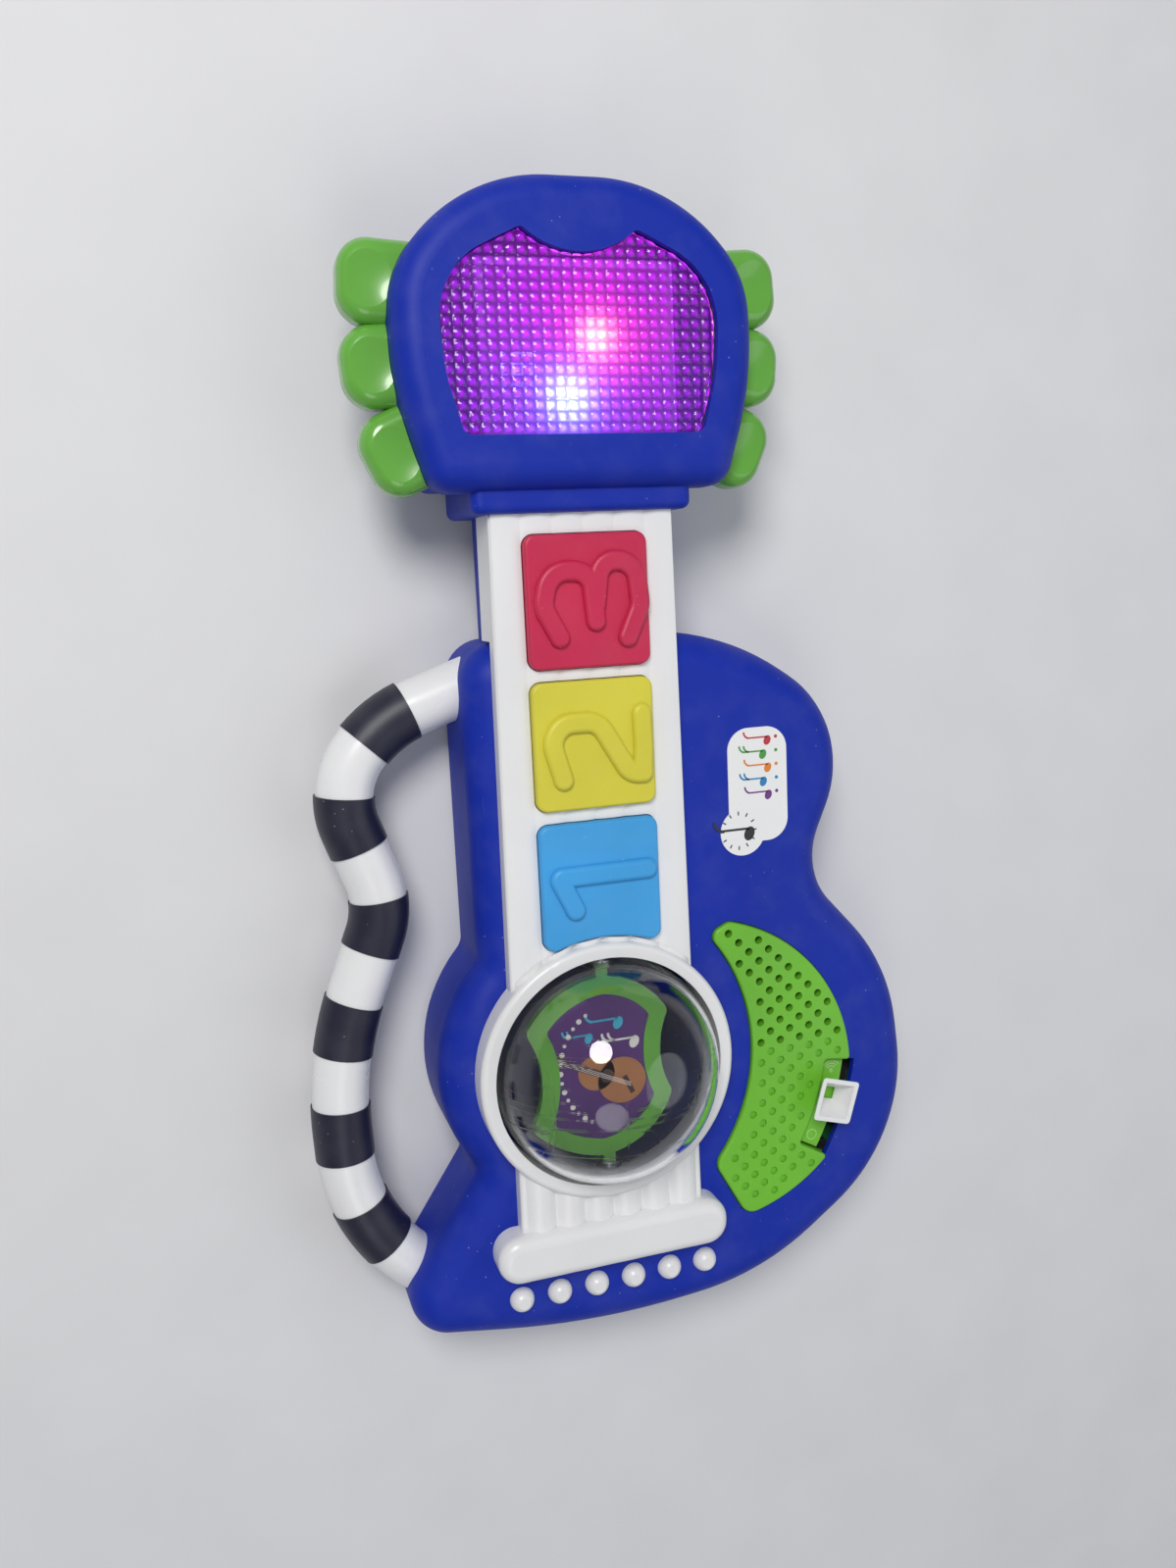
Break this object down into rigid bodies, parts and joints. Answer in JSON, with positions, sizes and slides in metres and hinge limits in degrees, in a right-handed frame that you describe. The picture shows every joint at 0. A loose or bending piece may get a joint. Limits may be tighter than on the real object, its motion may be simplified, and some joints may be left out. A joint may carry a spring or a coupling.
{
  "type": "toy electric guitar",
  "caption": "Baby toy guitar with a striped loop handle, numbered press keys, a clear roller ball, a light-up headstock, a speaker grille and a slide switch.",
  "frame": {"origin": "on the rear resting plane, straight under the centre of the roller ball", "axes": "+Z out of the face, +Y up the neck to the headstock, +X towards the speaker side"},
  "size_m": [0.1961, 0.3452, 0.0737],
  "materials": {
    "blue_shell": "fine-grained matte blue plastic",
    "white_plastic": "semi-gloss off-white plastic",
    "green_gloss": "glossy lime green plastic",
    "grille_green": "satin lime green plastic",
    "key_red": "satin raspberry red plastic",
    "key_yellow": "satin yellow plastic",
    "key_blue": "satin light blue plastic",
    "clear_ball": "clear polystyrene with fine scratches",
    "clear_window": "clear polystyrene with a grid of small bumps",
    "picture_panel": "printed purple panel",
    "handle_white": "smooth white plastic",
    "grip_dark": "soft navy-black moulded grip",
    "badge_print": "printed paper label under a clear film",
    "circuit_board": "solder-masked laminate",
    "dome_rubber": "grey silicone rubber",
    "lamp_red": "tinted epoxy",
    "lamp_white": "clear epoxy",
    "lamp_blue": "tinted epoxy",
    "steel": "zinc-plated steel",
    "speaker_paper": "black paper cone",
    "dark_parts": "black moulded and sealed parts",
    "cell_case": "printed metal can"
  },
  "bodies": {
    "root": {"rear_shell": "blue_shell", "front_shell": "blue_shell", "head_bezel": "blue_shell", "battery_door": "blue_shell", "neck_fascia": "white_plastic", "string_pegs": "white_plastic", "light_box": "white_plastic", "badge_label": "badge_print", "ball_pins": "steel", "key_board": "circuit_board", "handle_tube": "handle_white", "grip_bands": "grip_dark", "light_window": "clear_window", "led_board": "circuit_board", "tuner_left": "green_gloss", "tuner_right": "green_gloss", "speaker_grille": "grille_green", "speaker_frame": "steel", "speaker_cone": "speaker_paper", "speaker_magnet": "steel", "slide_switch": "dark_parts", "main_board": "circuit_board", "board_chips": "dark_parts", "batteries": "cell_case", "battery_contacts": "steel", "door_screw": "steel", "case_screws": "steel", "lamp_red": "lamp_red", "lamp_white": "lamp_white", "lamp_blue": "lamp_blue", "key_1_dome": "dome_rubber", "key_2_dome": "dome_rubber", "key_3_dome": "dome_rubber"},
    "key_1": {"key_1_blue": "key_blue"},
    "key_2": {"key_2_yellow": "key_yellow"},
    "key_3": {"key_3_red": "key_red"},
    "ball": {"ball_front": "clear_ball", "ball_rear": "clear_ball", "paddle_frame": "green_gloss", "paddle_panel": "picture_panel"},
    "switch": {"switch_knob": "white_plastic"}
  },
  "joints": [
    {"name": "key_1_press", "type": "slide", "parent": "root", "child": "key_1", "axis": [0, 0, -1], "range_m": [0, 0.002], "stiffness_N_per_m": 600, "springref_m": -0.0006, "deforming": ["key_1_dome"]},
    {"name": "key_2_press", "type": "slide", "parent": "root", "child": "key_2", "axis": [0, 0, -1], "range_m": [0, 0.002], "stiffness_N_per_m": 600, "springref_m": -0.0006, "deforming": ["key_2_dome"]},
    {"name": "key_3_press", "type": "slide", "parent": "root", "child": "key_3", "axis": [0, 0, -1], "range_m": [0, 0.002], "stiffness_N_per_m": 600, "springref_m": -0.0006, "deforming": ["key_3_dome"]},
    {"name": "ball_roll", "type": "hinge", "parent": "root", "child": "ball", "pos_m": [0, 0, 0.0385], "axis": [0, 1, 0], "continuous": true},
    {"name": "switch_slide", "type": "hinge", "parent": "root", "child": "switch", "pos_m": [0, 0, 0.036], "axis": [0, 0, 1], "range_deg": [-9.5, 4.3]}
  ]
}
